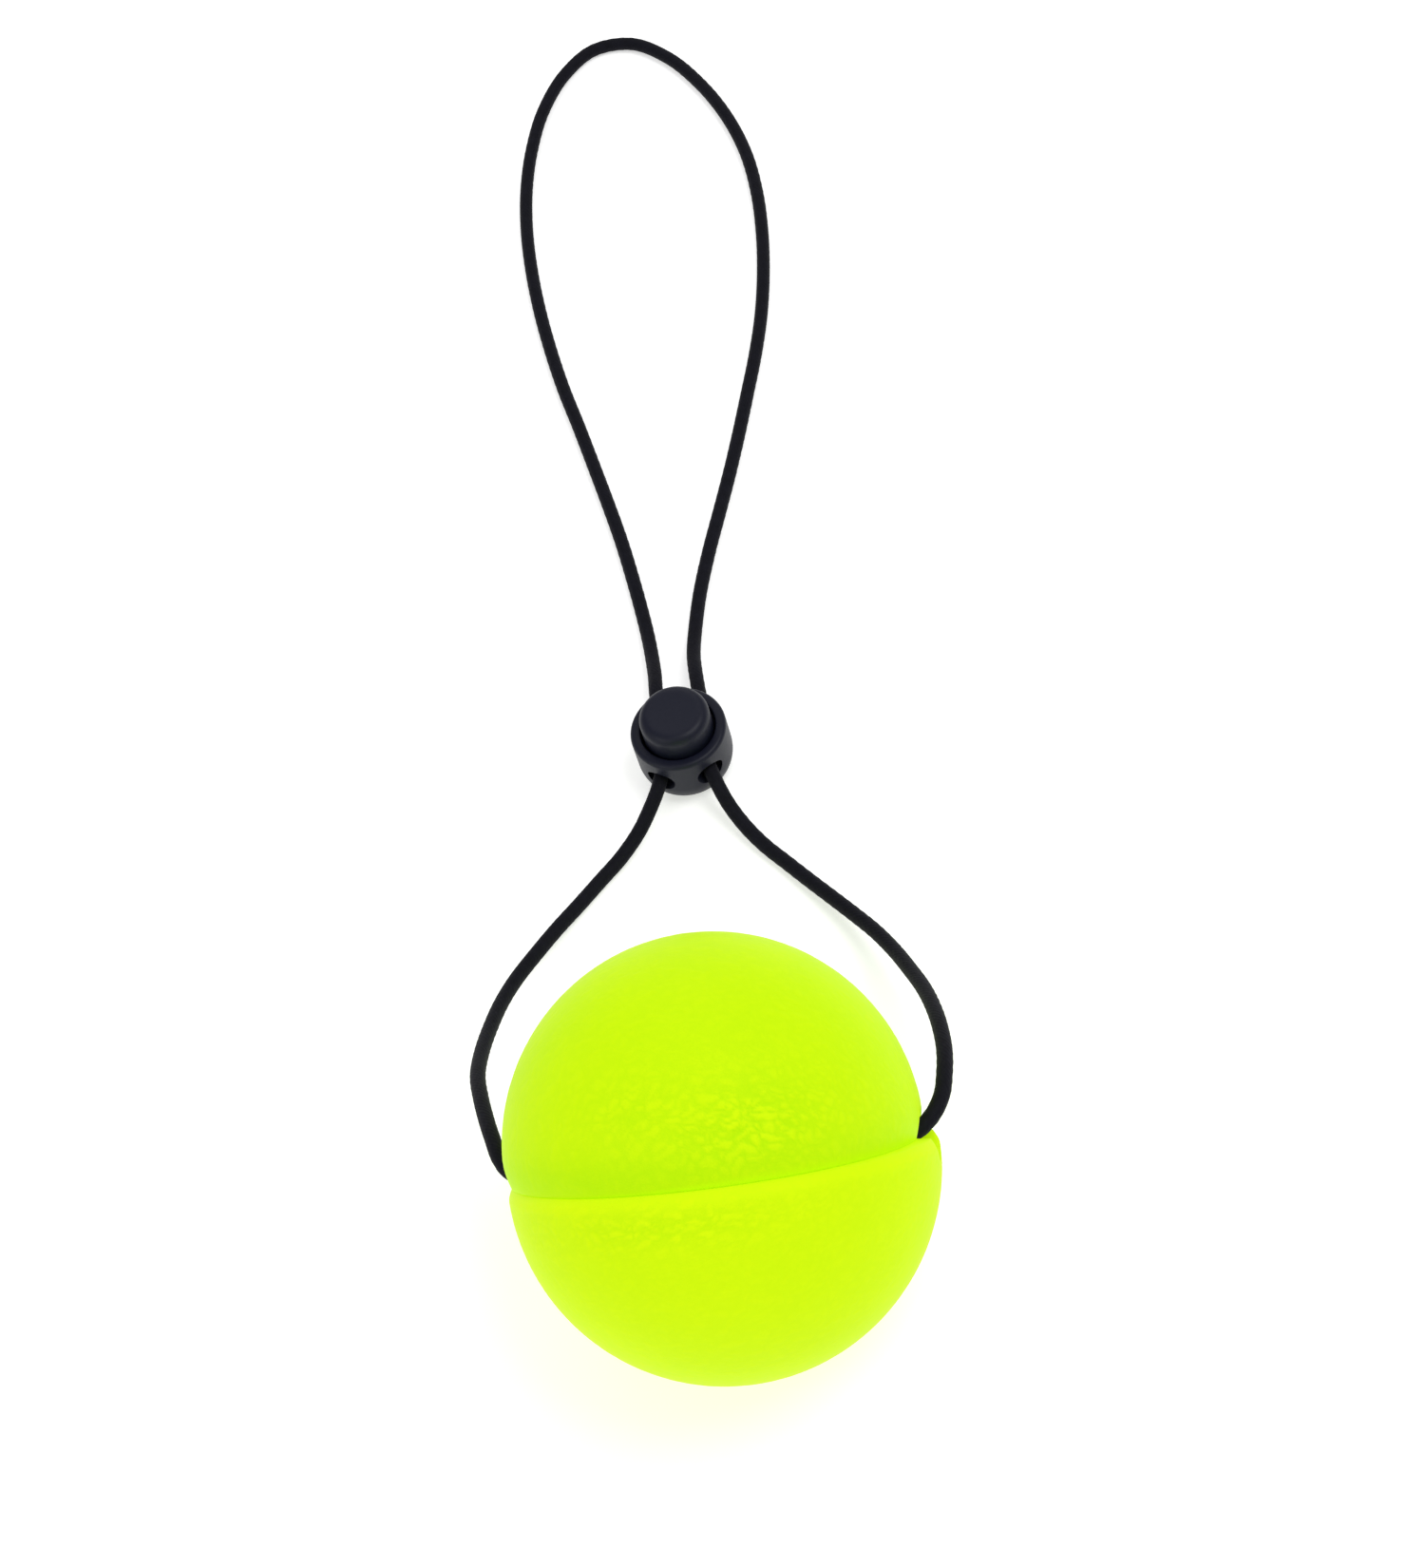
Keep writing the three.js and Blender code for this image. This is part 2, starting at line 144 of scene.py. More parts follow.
def evenly(line, step):
    """Points along a line about one step apart, and the line's length."""
    lengths = [0.0]
    for a, b in zip(line, line[1:]):
        lengths.append(lengths[-1] + (b - a).length)
    total = lengths[-1]
    count = max(2, round(total / step))
    points = []
    k = 0
    for i in range(count + 1):
        at = total * i / count
        while k < len(line) - 2 and lengths[k + 1] < at:
            k += 1
        span = max(lengths[k + 1] - lengths[k], 1e-9)
        points.append(line[k].lerp(line[k + 1], (at - lengths[k]) / span))
    return points, total


def frames_along(points):
    """A tangent and two normals at each point, carried along without twist."""
    rows = []
    side = None
    for i, p in enumerate(points):
        before = points[max(i - 1, 0)]
        after = points[min(i + 1, len(points) - 1)]
        along = (after - before).normalized()
        if side is None:
            side = along.orthogonal().normalized()
        side = (side - along * side.dot(along)).normalized()
        rows.append((p, along, side, along.cross(side)))
    return rows


def mesh_object(name, verts, faces, material, smooth=True):
    """A new object from points in millimetres."""
    mesh = bpy.data.meshes.new(name)
    mesh.from_pydata([tuple(c * MM for c in v) for v in verts], [], faces)
    mesh.validate()
    mesh.update()
    if smooth:
        mesh.shade_smooth()
    obj = bpy.data.objects.new(name, mesh)
    bpy.context.scene.collection.objects.link(obj)
    obj.data.materials.append(material)
    return obj


def node_maker(material):
    """Short calls for building a node tree: add(type, inputs) and link(from, to)."""
    tree = material.node_tree

    def add(kind, inputs=None, **settings):
        node = tree.nodes.new(kind)
        for key, value in settings.items():
            setattr(node, key, value)
        for key, value in (inputs or {}).items():
            node.inputs[key].default_value = value
        return node

    def link(a, out, b, into):
        tree.links.new(a.outputs[out], b.inputs[into])

    return add, link


def new_material(name):
    material = bpy.data.materials.new(name)
    material.use_nodes = True
    shader = material.node_tree.nodes["Principled BSDF"]
    add, link = node_maker(material)
    return material, shader, add, link


# ---------------------------------------------------------------- camera
CAMERA_AZIMUTH = 11.3
CAMERA_ELEVATION = 56.0
CAMERA_ROLL = 19.0
CAMERA_LENS = 68.0
CAMERA_PLACE = Vector((39.8, -147.5, 334.7))
CAMERA_SHIFT = (0.027, -0.023)


def make_camera():
    """Looks down on the table from the ball's side, turned so that the cord runs up the picture."""
    azimuth = math.radians(CAMERA_AZIMUTH)
    elevation = math.radians(CAMERA_ELEVATION)
    roll = math.radians(CAMERA_ROLL)
    back = Vector((
        math.sin(azimuth) * math.cos(elevation),
        -math.cos(azimuth) * math.cos(elevation),
        math.sin(elevation),
    ))
    level_right = Vector((math.cos(azimuth), math.sin(azimuth), 0))
    level_up = back.cross(level_right)
    right = level_right * math.cos(roll) - level_up * math.sin(roll)
    up = level_up * math.cos(roll) + level_right * math.sin(roll)
    data = bpy.data.cameras.new("camera")
    data.lens = CAMERA_LENS
    data.shift_x = CAMERA_SHIFT[0]
    data.shift_y = CAMERA_SHIFT[1]
    data.clip_start = 0.01
    data.clip_end = 20
    camera = bpy.data.objects.new("camera", data)
    bpy.context.scene.collection.objects.link(camera)
    turn = Matrix((right, up, back)).transposed().to_4x4()
    camera.matrix_world = Matrix.Translation(CAMERA_PLACE * MM) @ turn
    bpy.context.scene.camera = camera


# ---------------------------------------------------------------- materials
def rubber_material():
    """Soft fluorescent rubber: strong yellow-green and satin, with a faint random mottle. Painted
    shade darkens its creases and a band above its joint, and painted light brightens its lower half
    and lip.
    """
    material, shader, add, link = new_material("neon_rubber")
    shader.inputs["Roughness"].default_value = 0.5
    shader.inputs["IOR"].default_value = 1.3
    shader.inputs["Specular IOR Level"].default_value = 0.1
    shader.inputs["Specular Tint"].default_value = (0.85, 1.0, 0.2, 1)
    shader.inputs["Subsurface Weight"].default_value = 0.1
    shader.inputs["Subsurface Scale"].default_value = 0.004
    shader.inputs["Subsurface Radius"].default_value = (0.9, 1.0, 0.1)
    # The emission is partly the rubber's real fluorescence and partly a painted glow that lifts the
    # whole ball, its shade too, as even fill light would.
    shader.inputs["Emission Strength"].default_value = 0.57
    place = add("ShaderNodeTexCoord")
    cloud = add("ShaderNodeTexNoise", {"Scale": 90.0, "Detail": 3.0, "Roughness": 0.55})
    link(place, "Object", cloud, "Vector")
    # Painted light and shade from the skin: painted shade in the creases and above the groove,
    # painted light on the lower half and its lip.
    painted_shading = add("ShaderNodeAttribute", attribute_name="painted_shading")
    shift = add("ShaderNodeMapRange", {"To Min": -0.12, "To Max": 0.12})
    link(cloud, "Fac", shift, "Value")
    total = add("ShaderNodeMath", operation="ADD")
    link(painted_shading, "Fac", total, 0)
    link(shift, "Result", total, 1)
    tint = add("ShaderNodeMix", data_type="RGBA")
    tint.inputs["A"].default_value = (0.31, 0.565, 0.002, 1)
    tint.inputs["B"].default_value = (0.48, 0.65, 0.003, 1)
    link(total, "Value", tint, "Factor")
    link(tint, "Result", shader, "Base Color")
    link(tint, "Result", shader, "Emission Color")
    fine = add("ShaderNodeTexVoronoi", {"Scale": 1500.0, "Randomness": 1.0},
               feature="DISTANCE_TO_EDGE")
    warp = add("ShaderNodeTexNoise", {"Scale": 700.0, "Detail": 2.0})
    link(place, "Object", warp, "Vector")
    mixed = add("ShaderNodeMix", {"Factor": 0.0012}, data_type="VECTOR")
    link(place, "Object", mixed, 4)
    link(warp, "Color", mixed, 5)
    link(mixed, 1, fine, "Vector")
    bump = add("ShaderNodeBump", {"Strength": 0.2, "Distance": 0.00012})
    link(fine, "Distance", bump, "Height")
    link(bump, "Normal", shader, "Normal")
    return material


def cord_material():
    """Braided polyester over elastic: near black, matt, each yarn split into fine threads."""
    material, shader, add, link = new_material("black_cord")
    shader.inputs["Roughness"].default_value = 0.7
    shader.inputs["Specular IOR Level"].default_value = 0.1
    shader.inputs["Sheen Weight"].default_value = 0.02
    shader.inputs["Sheen Roughness"].default_value = 0.5
    lie = add("ShaderNodeUVMap", uv_map="along")
    threads = add("ShaderNodeTexWave", {"Scale": 0.9, "Distortion": 1.5, "Detail": 2.0},
                  wave_type="BANDS", bands_direction="DIAGONAL")
    link(lie, "UV", threads, "Vector")
    fleck = add("ShaderNodeTexNoise", {"Scale": 900.0, "Detail": 2.0})
    place = add("ShaderNodeTexCoord")
    link(place, "Object", fleck, "Vector")
    tint = add("ShaderNodeMix", data_type="RGBA")
    tint.inputs["A"].default_value = (0.002, 0.002, 0.004, 1)
    tint.inputs["B"].default_value = (0.007, 0.007, 0.013, 1)
    link(fleck, "Fac", tint, "Factor")
    link(tint, "Result", shader, "Base Color")
    bump = add("ShaderNodeBump", {"Strength": 0.3, "Distance": 0.00005})
    link(threads, "Fac", bump, "Height")
    link(bump, "Normal", shader, "Normal")
    return material


def plastic_material():
    """Moulded black plastic with a cool cast, satin, very slightly textured."""
    material, shader, add, link = new_material("black_plastic")
    shader.inputs["Specular IOR Level"].default_value = 0.2
    place = add("ShaderNodeTexCoord")
    grain = add("ShaderNodeTexNoise", {"Scale": 2500.0, "Detail": 3.0, "Roughness": 0.6})
    link(place, "Object", grain, "Vector")
    tint = add("ShaderNodeMix", data_type="RGBA")
    tint.inputs["A"].default_value = (0.004, 0.005, 0.015, 1)
    tint.inputs["B"].default_value = (0.008, 0.009, 0.020, 1)
    link(grain, "Fac", tint, "Factor")
    link(tint, "Result", shader, "Base Color")
    rough = add("ShaderNodeMapRange", {"To Min": 0.38, "To Max": 0.5})
    link(grain, "Fac", rough, "Value")
    link(rough, "Result", shader, "Roughness")
    bump = add("ShaderNodeBump", {"Strength": 0.15, "Distance": 0.00003})
    link(grain, "Fac", bump, "Height")
    link(bump, "Normal", shader, "Normal")
    return material


def steel_material():
    """Drawn spring wire with faint lengthwise streaks."""
    material, shader, add, link = new_material("spring_steel")
    shader.inputs["Metallic"].default_value = 1.0
    place = add("ShaderNodeTexCoord")
    streak = add("ShaderNodeTexNoise", {"Scale": 3000.0, "Detail": 2.0})
    link(place, "Object", streak, "Vector")
    tint = add("ShaderNodeMix", data_type="RGBA")
    tint.inputs["A"].default_value = (0.50, 0.51, 0.53, 1)
    tint.inputs["B"].default_value = (0.66, 0.67, 0.69, 1)
    link(streak, "Fac", tint, "Factor")
    link(tint, "Result", shader, "Base Color")
    rough = add("ShaderNodeMapRange", {"To Min": 0.22, "To Max": 0.4})
    link(streak, "Fac", rough, "Value")
    link(rough, "Result", shader, "Roughness")
    return material


def table_material():
    """A light table: pale, matt, and faintly lit from inside, so that shadows stay soft."""
    material, shader, _, _ = new_material("pale_table")
    shader.inputs["Roughness"].default_value = 0.9
    shader.inputs["Specular IOR Level"].default_value = 0.1
    shader.inputs["Base Color"].default_value = (0.8, 0.8, 0.8, 1)
    shader.inputs["Emission Color"].default_value = (1, 1, 1, 1)
    shader.inputs["Emission Strength"].default_value = 0.5
    return material


# ---------------------------------------------------------------- the cord
BRAID_RISE = 0.055            # height of a braided yarn's crown over the gaps
BRAID_YARNS = 8               # yarns each way round
BRAID_CELL = 0.78             # how far along the cord one yarn crossing takes
CORD_RING = 32
CORD_STEP = 0.3


def braid(angle, along):
    """Height of the braid, 0 to 1: two sets of yarns that pass over and under each other."""
    turn = angle * BRAID_YARNS / (2 * math.pi)
    a = turn + along / (2 * BRAID_CELL)
    b = turn - along / (2 * BRAID_CELL)
    over = (math.floor(a) + math.floor(b)) % 2 == 0
    across, lengthwise = (a, b) if over else (b, a)
    crown = math.sin(math.pi * (across % 1)) ** 0.7
    arch = 0.55 + 0.45 * math.sin(math.pi * (lengthwise % 1))
    return crown * arch


def cord_piece(name, route, material):
    """A braided tube along a route, its centreline and its length."""
    line, total = evenly(smooth_line(route), CORD_STEP)
    base_r = CORD_D / 2 - BRAID_RISE
    verts, uvs = [], []
    along = 0.0
    rows = frames_along(line)
    for i, (p, _, u, v) in enumerate(rows):
        if i:
            along += (p - rows[i - 1][0]).length
        for k in range(CORD_RING):
            angle = 2 * math.pi * k / CORD_RING
            r = base_r + BRAID_RISE * braid(angle, along)
            verts.append(p + (u * math.cos(angle) + v * math.sin(angle)) * r)
            uvs.append((along, angle * CORD_D / 2))
    faces = []
    for i in range(len(rows) - 1):
        for k in range(CORD_RING):
            n = (k + 1) % CORD_RING
            a, b = i * CORD_RING, (i + 1) * CORD_RING
            faces.append((a + k, a + n, b + n, b + k))
    faces.append(tuple(reversed(range(CORD_RING))))
    top = (len(rows) - 1) * CORD_RING
    faces.append(tuple(top + k for k in range(CORD_RING)))
    obj = mesh_object(name, verts, faces, material)
    layer = obj.data.uv_layers.new(name="along")
    seam = math.pi * CORD_D
    for polygon in obj.data.polygons:
        around = [uvs[obj.data.loops[n].vertex_index][1] for n in polygon.loop_indices]
        wraps = max(around) > seam * 0.9 and min(around) < seam * 0.1
        for n, y in zip(polygon.loop_indices, around):
            x = uvs[obj.data.loops[n].vertex_index][0]
            layer.data[n].uv = (x, y + seam if wraps and y < seam * 0.1 else y)
    return obj, [p * MM for p in line[::4]] + [line[-1] * MM], total * MM


def make_cords(material):
    made = {}
    for name, node, route in (
        ("left_strand", "cord_left_strand", LEFT_STRAND),
        ("right_strand", "cord_right_strand", RIGHT_STRAND),
        ("wrist_loop", "cord_loop", LOOP),
    ):
        piece, path, length = cord_piece(name, route, material)
        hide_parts(node)
        made[name] = (piece, path, length)
    return made


def bend_cords(made):
    """Bakes the strands' and the loop's placement into their meshes."""
    for name in ("left_strand", "right_strand"):
        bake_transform(made[name][0])
    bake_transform(made["wrist_loop"][0])


# ---------------------------------------------------------------- the ball
SKIN_STEP = 0.26              # distance between the skin's points
CREASE_DEPTH = 0.16
CREASE_DENSITY = 1.1          # wrinkles to a millimetre across them
CREASE_FADE = 1.2             # the grain fades out over this height at the joint
WRINKLE_FLOOR = 0.16          # how strong the grain is away from the groove
WRINKLE_PATCHES = (           # weight, place and width along the bore, height and spread
    (1.0, 7.0, 7.5, 6.2, 4.2),
    (0.45, -5.0, 6.0, 8.8, 4.0),
    (0.75, -3.0, 11.0, -3.6, 1.9),
)
# Painted shade in the creases and painted light on the pebbles, as a share of the grain's strength.
PAINTED_CREASE_SHADE = 0.65
PAINTED_BAND_SHADE = 0.3            # how much darker painted shade makes the skin just above the groove
PAINTED_LOWER_LIGHT = 0.2           # how much brighter painted light makes the lower half
PAINTED_LIP_HIGHLIGHT = 0.12            # and a painted highlight on its lip on top of that
GRAIN_SEED = 5                # noise_vector is shuffled by it, and differs each run without it
WRINKLE_X = 8.5               # where along the bore the wrinkles arch round
ROLL_IN = 4.2                 # how far above the joint the upper half starts to roll in
KNOT_ROOM_R = 5.2
SEAM_GAP = 0.02               # between the two halves' joint faces


def creases(p):
    """Leather grain, 0 in a crease to 1 on a pebble: arched wrinkles drawn out along the groove."""
    height = p.dot(GROOVE_NORMAL)
    arch = math.hypot((p.x - WRINKLE_X) * 0.5, height) if height > 0 else height
    warp = noise.noise_vector(p * 0.4) * 0.9 + noise.noise_vector(p * 1.2) * 0.3
    drawn = Vector((p.x * 0.42, arch, p.dot(IN_JOINT))) + warp
    distances, _ = noise.voronoi(drawn * CREASE_DENSITY)
    return min(1.0, (distances[1] - distances[0]) * 2.4)


def bell(value, middle, width):
    """A smooth bump: 1 at the middle, fading out over about the width."""
    return math.exp(-((value - middle) / width) ** 2)


def wrinkling(p):
    """How strong the grain is, 0 to 1: strongest in three patches by the groove."""
    height = p.dot(GROOVE_NORMAL)
    total = sum(
        weight * bell(p.x, x, wide) * bell(height, up, tall)
        for weight, x, wide, up, tall in WRINKLE_PATCHES
    )
    return WRINKLE_FLOOR + (1 - WRINKLE_FLOOR) * min(1.0, total)


def skin_point(direction, half, side):
    """A point of one half's skin with groove and grain, and its painted shading, 0 dark to 1
    bright.
    """
    centre = GROOVE_NORMAL * half["shift"] * side + Vector((half["slip"], 0, 0))
    along = direction.dot(centre)
    r = along + math.sqrt(half["r"] ** 2 - centre.length_squared + along ** 2)
    height = r * abs(direction.dot(GROOVE_NORMAL))
    spot = direction * r
    strength = wrinkling(spot) * min(1.0, height / CREASE_FADE)
    pebble = creases(spot)
    # Painted shade in the creases and painted light on the pebbles between them.
    painted_shading = 0.5 + (pebble - 0.6) * strength * PAINTED_CREASE_SHADE
    if side > 0:
        across = min(1.0, height / ROLL_IN)
        r -= GROOVE_DEPTH * (1 - across) ** 2
        # Painted shade: a band just above the groove, darker towards the left.
        to_left = 0.45 + 0.55 / (1 + math.exp((spot.x - 2.0) / 3.5))
        painted_shading -= PAINTED_BAND_SHADE * to_left * bell(height, 1.8, 2.6)
    else:
        across = min(1.0, height / GROOVE_HALF_WIDTH)
        r -= GROOVE_DEPTH * (1 - math.sin(math.pi / 2 * across))
        # Painted light on the whole lower half, with a painted highlight along its lip.
        painted_shading += PAINTED_LOWER_LIGHT + PAINTED_LIP_HIGHLIGHT * bell(height, 0.9, 0.7)
    r -= CREASE_DEPTH * (1 - pebble) * strength
    point = direction * r
    point.z = max(point.z, -BALL_Z)
    return point, painted_shading


def ball_profile():
    """Rows of the half-plane profile turned about the bore: skin, mouths, bore and knot's hollow.

    A skin row holds its angle from the bore, a mouth row its end and depth from 0 to 1, and a
    hollow row its place along the bore and its distance from it.
    """
    edge = math.asin(MOUTH_R / LOWER["r"])
    count = round((math.pi - 2 * edge) * LOWER["r"] / SKIN_STEP)
    rows = [("skin", edge + (math.pi - 2 * edge) * i / count, 0.0) for i in range(count + 1)]
    depths = [i / 9 for i in range(1, 10)]
    rows += [("mouth", -1, depth) for depth in depths]
    low = math.asin(BORE_R / KNOT_ROOM_R)
    for i in range(13):
        angle = math.pi - low - (math.pi - 2 * low) * i / 12
        rows.append(("hollow", KNOT_ROOM_R * math.cos(angle), KNOT_ROOM_R * math.sin(angle)))
    rows += [("mouth", 1, depth) for depth in reversed(depths)]
    return rows


def ball_half(name, half, side, material):
    """One half of the ball: its profile turned half round the bore and closed by its joint face."""
    profile = ball_profile()
    skin_rows = [angle for kind, angle, _ in profile if kind == "skin"]
    count = round(math.pi * LOWER["r"] / SKIN_STEP)
    bore = Vector((1, 0, 0))
    verts, painted_shadings = [], []
    for i in range(count + 1):
        turn = math.pi * i / count
        out = IN_JOINT * math.cos(turn) + GROOVE_NORMAL * math.sin(turn) * side
        skin = {
            a: skin_point(bore * math.cos(a) + out * math.sin(a), half, side)
            for a in skin_rows
        }
        rims = {1: skin[skin_rows[0]][0], -1: skin[skin_rows[-1]][0]}
        for kind, a, b in profile:
            painted_shading = 0.5
            if kind == "skin":
                point, painted_shading = skin[a]
            elif kind == "mouth":
                rim_r = rims[a].dot(out)
                x = rims[a].x + (a * MOUTH_END - rims[a].x) * b
                point = bore * x + out * (BORE_R + (rim_r - BORE_R) * (1 - b) ** 1.7)
            else:
                point = bore * a + out * b
            if i in (0, count):
                point = point + GROOVE_NORMAL * side * SEAM_GAP
            verts.append(BALL_FRAME @ point)
            painted_shadings.append(painted_shading)
    n = len(profile)
    faces = []
    for i in range(count):
        for k in range(n):
            m = (k + 1) % n
            faces.append((i * n + k, i * n + m, (i + 1) * n + m, (i + 1) * n + k))
    faces.append(tuple(range(n)))
    faces.append(tuple(count * n + k for k in range(n)))
    obj = mesh_object(name, verts, faces, material)
    # Keeps the skin's painted light and shade for the rubber's colour.
    obj.data.attributes.new("painted_shading", "FLOAT", "POINT").data.foreach_set("value", painted_shadings)
    work = bmesh.new()
    work.from_mesh(obj.data)
    bmesh.ops.triangulate(work, faces=[f for f in work.faces if len(f.verts) > 4])
    bmesh.ops.recalc_face_normals(work, faces=work.faces)
    work.to_mesh(obj.data)
    work.free()
    return obj


def make_ball(material):
    noise.seed_set(GRAIN_SEED)
    for name, node, half, side in (
        ("ball_upper_skin", "ball_upper_half", UPPER, 1),
        ("ball_lower_skin", "ball_lower_half", LOWER, -1),
    ):
        piece = ball_half(name, half, side, material)
        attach(piece, "ball")
        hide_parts(node)


# ---------------------------------------------------------------- the cord lock
LOCK_R = 6.5
LOCK_TOP = 9.0
BUTTON_R = 4.75
BUTTON_TOP = 12.6
LATHE_SIDES = 128


def arc_points(centre, radius, start, end, steps):
    """(radius, height) points of an arc between two angles in degrees."""
    points = []
    for i in range(steps + 1):
        angle = math.radians(start + (end - start) * i / steps)
        points.append((centre[0] + radius * math.cos(angle), centre[1] + radius * math.sin(angle)))
    return points


def lathe(name, profile, material, sides=LATHE_SIDES):
    """A closed body turned about the lock's axis; the profile starts and ends on the axis."""
    rings = [p for p in profile[1:-1]]
    verts = [Vector((LOCK_X, LOCK_Y, profile[0][1]))]
    for r, z in rings:
        for k in range(sides):
            angle = 2 * math.pi * k / sides
            verts.append(Vector((LOCK_X + r * math.cos(angle), LOCK_Y + r * math.sin(angle), z)))
    verts.append(Vector((LOCK_X, LOCK_Y, profile[-1][1])))
    faces = []
    for k in range(sides):
        faces.append((0, 1 + (k + 1) % sides, 1 + k))
    for i in range(len(rings) - 1):
        a, b = 1 + i * sides, 1 + (i + 1) * sides
        for k in range(sides):
            m = (k + 1) % sides
            faces.append((a + k, a + m, b + m, b + k))
    a = 1 + (len(rings) - 1) * sides
    for k in range(sides):
        faces.append((a + k, a + (k + 1) % sides, len(verts) - 1))
    return mesh_object(name, verts, faces, material)


def round_outline(x, z, radius, steps=48):
    return arc_points((x, z), radius, 0, 360, steps)[:-1]


def window_outline(left, right, low, high, corner):
    """A rectangle in X and Z with rounded corners."""
    left, right, low, high = left + corner, right - corner, low + corner, high - corner
    outline = arc_points((right, high), corner, 0, 90, 8)
    outline += arc_points((left, high), corner, 90, 180, 8)
    outline += arc_points((left, low), corner, 180, 270, 8)
    outline += arc_points((right, low), corner, 270, 360, 8)
    return outline


def cut_along_y(obj, outline):
    """Cuts a straight passage with this outline through a lock piece."""
    n = len(outline)
    reach = 2 * LOCK_R
    verts = [Vector((x, LOCK_Y - reach, z)) for x, z in outline]
    verts += [Vector((x, LOCK_Y + reach, z)) for x, z in outline]
    faces = [tuple(range(n)), tuple(reversed(range(n, 2 * n)))]
    for k in range(n):
        m = (k + 1) % n
        faces.append((k, n + k, n + m, m))
    cutter = mesh_object("cutter", verts, faces, obj.data.materials[0], smooth=False)
    work = bmesh.new()
    work.from_mesh(cutter.data)
    bmesh.ops.recalc_face_normals(work, faces=work.faces)
    work.to_mesh(cutter.data)
    work.free()
    cut = obj.modifiers.new("cut", "BOOLEAN")
    cut.object = cutter
    cut.operation = "DIFFERENCE"
    cut.solver = "EXACT"
    apply_modifiers(obj)
    bpy.data.objects.remove(cutter)


def apply_modifiers(obj):
    graph = bpy.context.evaluated_depsgraph_get()
    made = bpy.data.meshes.new_from_object(obj.evaluated_get(graph))
    old = obj.data
    obj.modifiers.clear()
    obj.data = made
    bpy.data.meshes.remove(old)


def soften(obj, width, segments=3, angle=35):
    """Rounds the sharp edges that the cuts left."""
    edge = obj.modifiers.new("edge", "BEVEL")
    edge.width = width * MM
    edge.segments = segments
    edge.limit_method = "ANGLE"
    edge.angle_limit = math.radians(angle)
    edge.use_clamp_overlap = True
    edge.harden_normals = False
    apply_modifiers(obj)
    obj.data.shade_smooth()
    keep = obj.modifiers.new("normals", "WEIGHTED_NORMAL")
    keep.keep_sharp = True
    apply_modifiers(obj)


def lock_housing(material):
    """The barrel: a round foot, a bore for the button from above, and two holes for the cord."""
    foot_r, foot_h, floor, bore, edge = 4.3, 3.6, 0.8, 5.1, 0.6
    profile = [(0, 0), (foot_r, 0)]
    for i in range(1, 17):
        angle = math.pi / 2 * i / 16
        r = foot_r + (LOCK_R - foot_r) * math.sin(angle)
        profile.append((r, foot_h * (1 - math.cos(angle))))
    profile += arc_points((LOCK_R - edge, LOCK_TOP - edge), edge, 0, 90, 10)
    profile += arc_points((bore + 0.2, LOCK_TOP - 0.2), 0.2, 90, 180, 4)
    profile += [(bore, floor), (0, floor)]
    obj = lathe("lock_barrel", profile, material)
    for x in (LOCK_X - HOLE_SPREAD, LOCK_X + HOLE_SPREAD):
        cut_along_y(obj, round_outline(x, HOLE_Z, HOLE_R))
    soften(obj, 0.16)
    return obj


def lock_button(material):
    """The button and its plunger, with one wide window that both strands pass."""
    foot, edge = 3.2, 1.3
    profile = [(0, foot), (BUTTON_R - 0.3, foot), (BUTTON_R, foot + 0.3)]
    profile += [(BUTTON_R, BUTTON_TOP - edge - 0.4)]
    profile += arc_points((BUTTON_R - edge, BUTTON_TOP - edge), edge, 0, 90, 10)
    profile += [(BUTTON_R - edge - 0.5, BUTTON_TOP - 0.02), (1.5, BUTTON_TOP - 0.05)]
    profile += [(0, BUTTON_TOP - 0.05)]
    obj = lathe("lock_push_button", profile, material)
    half_window, low, high, corner = 4.2, 3.9, 7.9, 0.8
    left, right = LOCK_X - half_window, LOCK_X + half_window
    cut_along_y(obj, window_outline(left, right, low, high, corner))
    soften(obj, 0.1)
    return obj


def lock_spring(material):
    """A conical coil, wide at the barrel's floor and narrow under the plunger."""
    wire, bottom_r, top_r, turns, low, high = 0.25, 3.9, 2.2, 3.5, 1.35, 2.65
    line = []
    steps = 220
    for i in range(steps + 1):
        t = i / steps
        angle = 2 * math.pi * turns * t
        r = bottom_r + (top_r - bottom_r) * t
        x, y = LOCK_X + r * math.cos(angle), LOCK_Y + r * math.sin(angle)
        line.append(Vector((x, y, low + (high - low) * t)))
    ring = 14
    verts, faces = [], []
    for p, _, u, v in frames_along(line):
        for k in range(ring):
            angle = 2 * math.pi * k / ring
            verts.append(p + (u * math.cos(angle) + v * math.sin(angle)) * wire)
    for i in range(steps):
        for k in range(ring):
            m = (k + 1) % ring
            faces.append((i * ring + k, i * ring + m, (i + 1) * ring + m, (i + 1) * ring + k))
    faces.append(tuple(reversed(range(ring))))
    faces.append(tuple(steps * ring + k for k in range(ring)))
    return mesh_object("lock_coil", verts, faces, material)


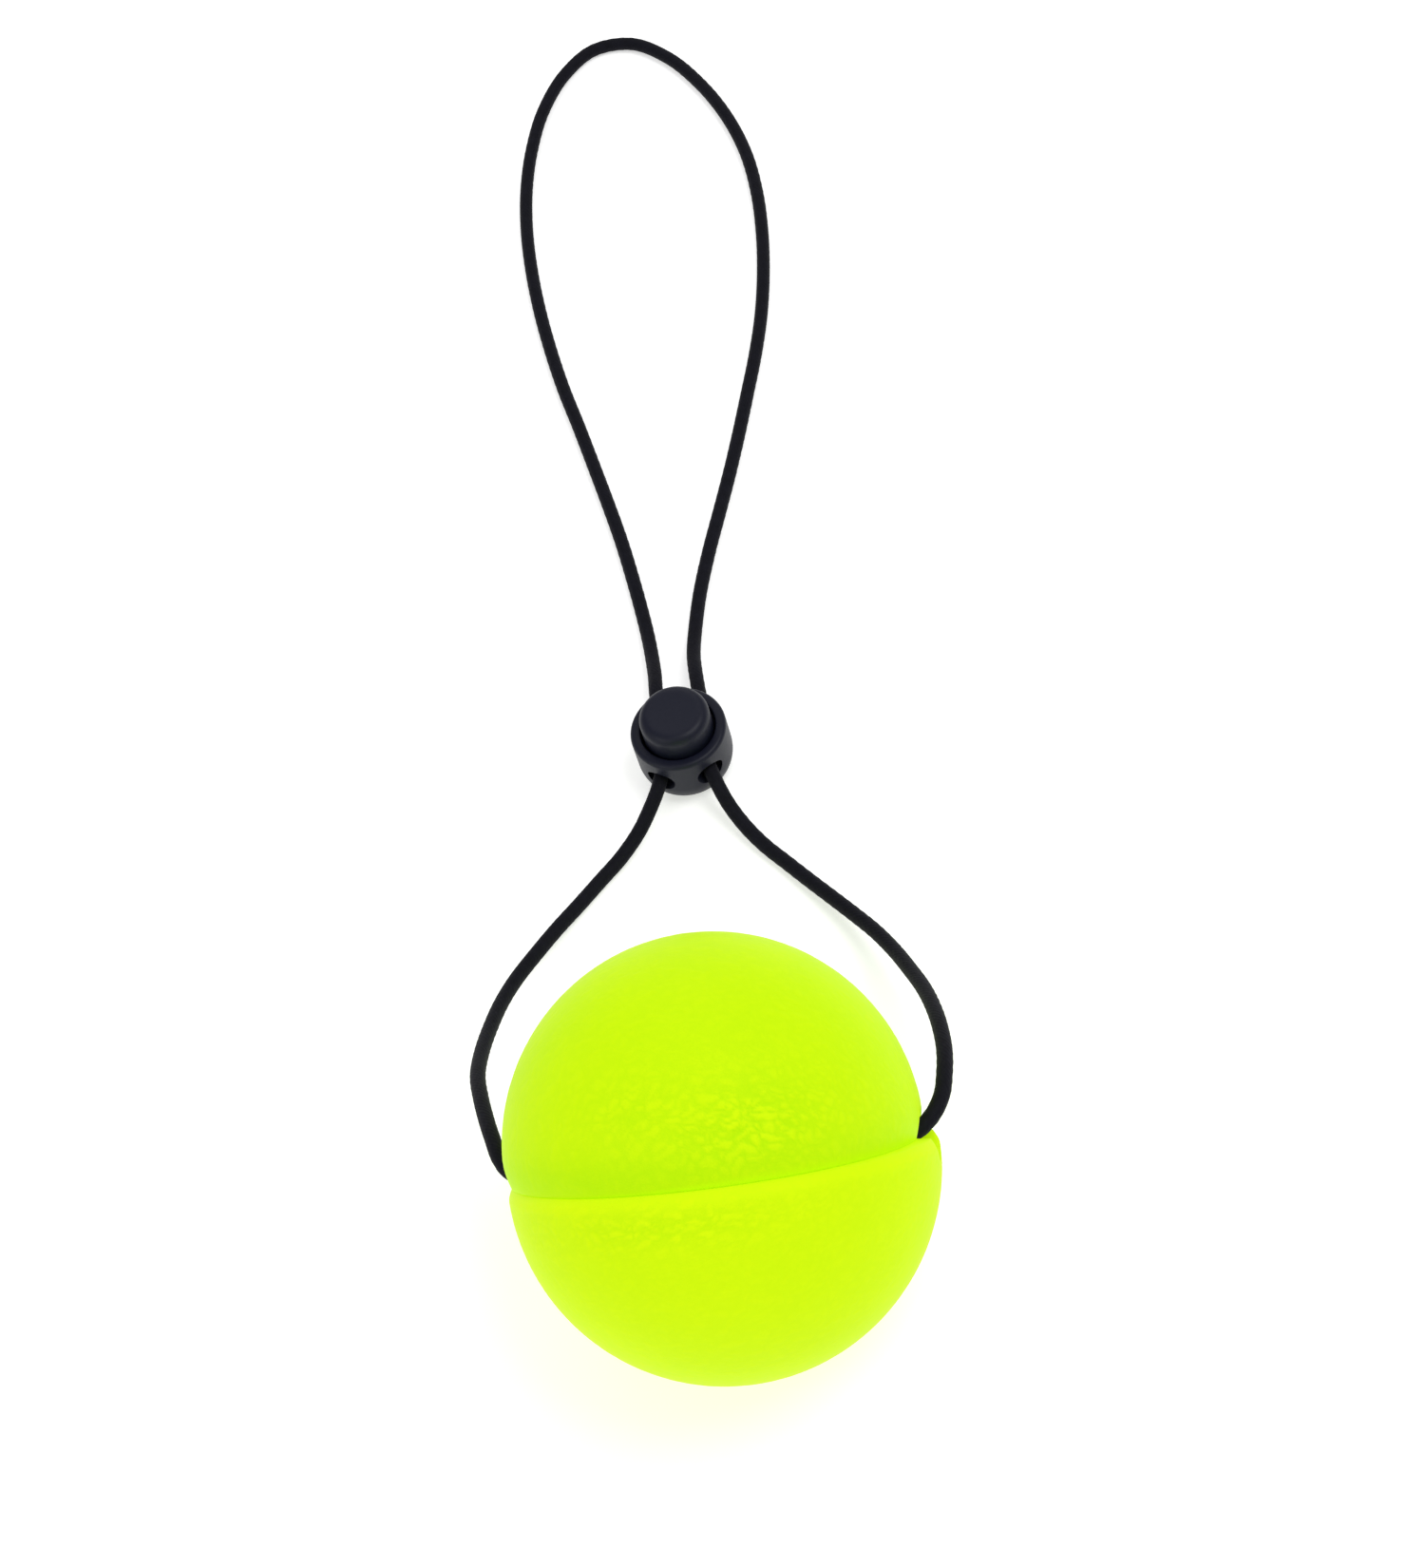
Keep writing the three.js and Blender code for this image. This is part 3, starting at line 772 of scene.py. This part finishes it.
def make_lock(plastic, steel):
    housing = lock_housing(plastic)
    button = lock_button(plastic)
    spring = lock_spring(steel)
    for piece, body, node, slot in (
        (housing, "lock", "lock_housing", "black_plastic"),
        (button, "button", "lock_button", "black_plastic"),
        (spring, "lock", "lock_spring", "spring_steel"),
    ):
        if piece is not spring:
            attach(piece, body)
        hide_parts(node)
    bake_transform(spring)
    return [housing, button, spring]


# ---------------------------------------------------------------- table and light
def make_table():
    half, gap = 3.0, 0.0001
    mesh = bpy.data.meshes.new("table")
    corners = [(-half, -half, 0), (half, -half, 0), (half, half, 0), (-half, half, 0)]
    mesh.from_pydata(corners, [], [(0, 1, 2, 3)])
    table = bpy.data.objects.new("table", mesh)
    table.location.z = -gap
    bpy.context.scene.collection.objects.link(table)
    table.data.materials.append(table_material())


def area_light(name, place, aim, size, power):
    data = bpy.data.lights.new(name, "AREA")
    data.shape = "DISK"
    data.size = size
    data.energy = power
    lamp = bpy.data.objects.new(name, data)
    lamp.location = place
    lamp.rotation_euler = (Vector(aim) - Vector(place)).to_track_quat("-Z", "Y").to_euler()
    bpy.context.scene.collection.objects.link(lamp)


def make_light():
    world = bpy.data.worlds.new("studio")
    world.use_nodes = True
    world.node_tree.nodes["Background"].inputs["Color"].default_value = (1, 1, 1, 1)
    world.node_tree.nodes["Background"].inputs["Strength"].default_value = 0.45
    bpy.context.scene.world = world
    aim = (0, 0.06, 0)
    area_light("key", (0.3, 0.02, 0.66), aim, 0.4, 2.2)
    area_light("fill", (-0.5, -0.35, 0.5), aim, 0.6, 1.5)
    area_light("back", (0.0, 0.7, 0.5), aim, 0.5, 0.8)
    bpy.context.scene.view_settings.view_transform = "Standard"


# ---------------------------------------------------------------- build
make_camera()
cord_cloth = cord_material()
cords = make_cords(cord_cloth)
make_ball(rubber_material())
lock_pieces = make_lock(plastic_material(), steel_material())
bend_cords(cords)
for hidden in ("cord_left_in_ball", "cord_right_in_ball", "cord_knot"):
    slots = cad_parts[hidden].data.materials
    slots.clear()
    slots.append(cord_cloth)
make_table()
make_light()
